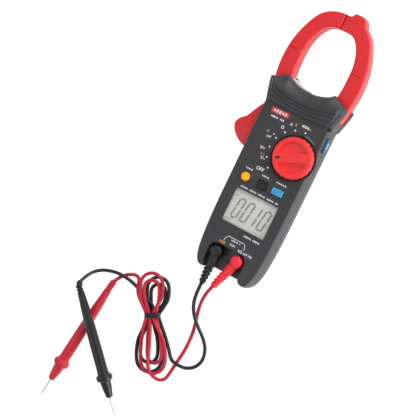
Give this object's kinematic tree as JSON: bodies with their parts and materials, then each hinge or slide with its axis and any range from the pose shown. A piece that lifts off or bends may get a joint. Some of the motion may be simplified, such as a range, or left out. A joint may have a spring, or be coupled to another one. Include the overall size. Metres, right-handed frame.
{
  "type": "clamp meter",
  "caption": "Hand-held clamp meter with sprung jaws and side trigger, rotary function dial, keys, display, and two plugged-in test leads tied in a hank.",
  "frame": {"origin": "on the flat back face, on the long centre line of the grip, level with the dial's centre within 0.4 mm", "axes": "+Y towards the tips of the jaws, +Z out of the front face with the display, +X towards the side with the hold button"},
  "size_m": [0.1734, 0.4652, 0.041],
  "materials": {
    "case_plastic": "fine-grained charcoal moulding",
    "jaw_plastic": "satin red moulding",
    "ferrite": "dark sintered core",
    "copper_wire": "enamelled copper winding",
    "steel": "plated steel",
    "dial_red": "satin red moulding",
    "rotor_plastic": "natural acetal",
    "brass": "plated contact metal",
    "yellow_button": "soft yellow key",
    "black_button": "soft black key",
    "blue_button": "soft blue key",
    "switch_metal": "pressed switch can",
    "lens": "clear window",
    "black_plastic": "moulded black",
    "display_glass": "grey-green display sandwich",
    "backlight": "white diffuser",
    "elastomer": "striped contact strip",
    "circuit_board": "green laminate",
    "ceramic": "ceramic body",
    "battery_can": "printed can",
    "lead_black": "soft black moulding",
    "lead_red": "soft red moulding"
  },
  "bodies": {
    "meter": {"rear_case": "case_plastic", "front_case": "case_plastic", "battery_cover": "case_plastic", "fixed_jaw_rear": "jaw_plastic", "fixed_jaw_front": "jaw_plastic", "fixed_jaw_core": "ferrite", "fixed_jaw_coil": "copper_wire", "battery_cover_screw": "steel", "case_screw_1": "steel", "case_screw_2": "steel", "case_screw_3": "steel", "case_screw_4": "steel", "jaw_pivot_pin": "steel", "jaw_spring": "steel", "com_probe_tip": "steel", "volt_probe_tip": "steel", "com_socket": "brass", "volt_socket": "brass", "com_plug_pin": "brass", "volt_plug_pin": "brass", "select_switch": "switch_metal", "relative_switch": "switch_metal", "minmax_switch": "switch_metal", "hold_switch": "switch_metal", "display_lens": "lens", "display_frame": "black_plastic", "measuring_chip": "black_plastic", "buzzer": "black_plastic", "battery_snap": "black_plastic", "display_glass": "display_glass", "display_backlight": "backlight", "display_connector": "elastomer", "main_board": "circuit_board", "input_board": "circuit_board", "fuse_resistor": "ceramic", "battery": "battery_can", "com_plug": "lead_black", "com_probe": "lead_black", "com_plug_cord": "lead_black", "com_probe_cord": "lead_black", "lead_tie": "lead_black", "volt_plug": "lead_red", "volt_probe": "lead_red", "volt_plug_cord": "lead_red", "volt_probe_cord": "lead_red", "lead_hank": "lead_red"},
    "moving_jaw": {"moving_jaw_rear": "jaw_plastic", "moving_jaw_front": "jaw_plastic", "moving_jaw_core": "ferrite", "moving_jaw_coil": "copper_wire"},
    "dial": {"dial_knob": "dial_red", "dial_rotor": "rotor_plastic", "dial_wiper": "brass", "dial_detent_ball": "steel"},
    "select_button": {"select_button": "yellow_button"},
    "relative_button": {"relative_button": "black_button"},
    "minmax_button": {"minmax_button": "blue_button"},
    "hold_button": {"hold_button": "blue_button"}
  },
  "joints": [
    {"name": "jaw_hinge", "type": "hinge", "parent": "meter", "child": "moving_jaw", "pos_m": [-0.024, 0.05, 0.018], "axis": [0, 0, 1], "range_deg": [0, 24], "stiffness_Nm_per_rad": 1.2, "springref_deg": -17.19},
    {"name": "dial_turn", "type": "hinge", "parent": "meter", "child": "dial", "pos_m": [0.0149, 0.0004, 0.036], "axis": [0, 0, 1], "range_deg": [-112.5, 22.5]},
    {"name": "select_press", "type": "slide", "parent": "meter", "child": "select_button", "axis": [0, 0, -1], "range_m": [0, 0.001], "stiffness_N_per_m": 1500, "springref_m": -0.0003},
    {"name": "relative_press", "type": "slide", "parent": "meter", "child": "relative_button", "axis": [0, 0, -1], "range_m": [0, 0.001], "stiffness_N_per_m": 1500, "springref_m": -0.0003},
    {"name": "minmax_press", "type": "slide", "parent": "meter", "child": "minmax_button", "axis": [0, 0, -1], "range_m": [0, 0.001], "stiffness_N_per_m": 1500, "springref_m": -0.0003},
    {"name": "hold_press", "type": "slide", "parent": "meter", "child": "hold_button", "axis": [-1, 0, 0], "range_m": [0, 0.001], "stiffness_N_per_m": 1500, "springref_m": -0.0003}
  ]
}
